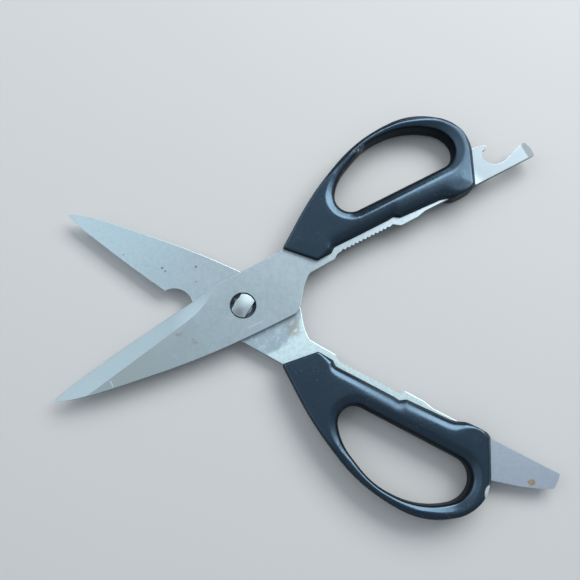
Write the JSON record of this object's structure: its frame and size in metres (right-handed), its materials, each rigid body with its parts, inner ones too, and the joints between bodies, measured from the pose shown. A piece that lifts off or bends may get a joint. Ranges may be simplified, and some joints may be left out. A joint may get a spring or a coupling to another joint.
{
  "type": "poultry shears",
  "caption": "Take-apart kitchen and poultry shears with moulded finger loops, bone notch, toothed bottle grip, bottle opener tail and flat lid lifter tail.",
  "frame": {"origin": "where the pivot axis crosses the plane in which the two halves slide", "axes": "+X from the blade tips towards the handles along the line midway between the open halves, +Y towards the upper handle, +Z along the pivot axis towards the stud's head, away from the surface the shears lie on"},
  "size_m": [0.2034, 0.1694, 0.012],
  "materials": {
    "steel": "satin ground stainless steel",
    "stud": "turned stainless steel",
    "handle": "fine moulded texture, semi-gloss on the crests"
  },
  "bodies": {
    "upper_half": {"upper_blade": "steel", "upper_handle": "handle"},
    "lower_half": {"lower_blade": "steel", "lower_handle": "handle", "pivot_stud": "stud"}
  },
  "joints": [
    {"name": "pivot", "type": "hinge", "parent": "upper_half", "child": "lower_half", "pos_m": [0, 0, 0], "axis": [0, 0, 1], "range_deg": [-70, 55.2]}
  ]
}
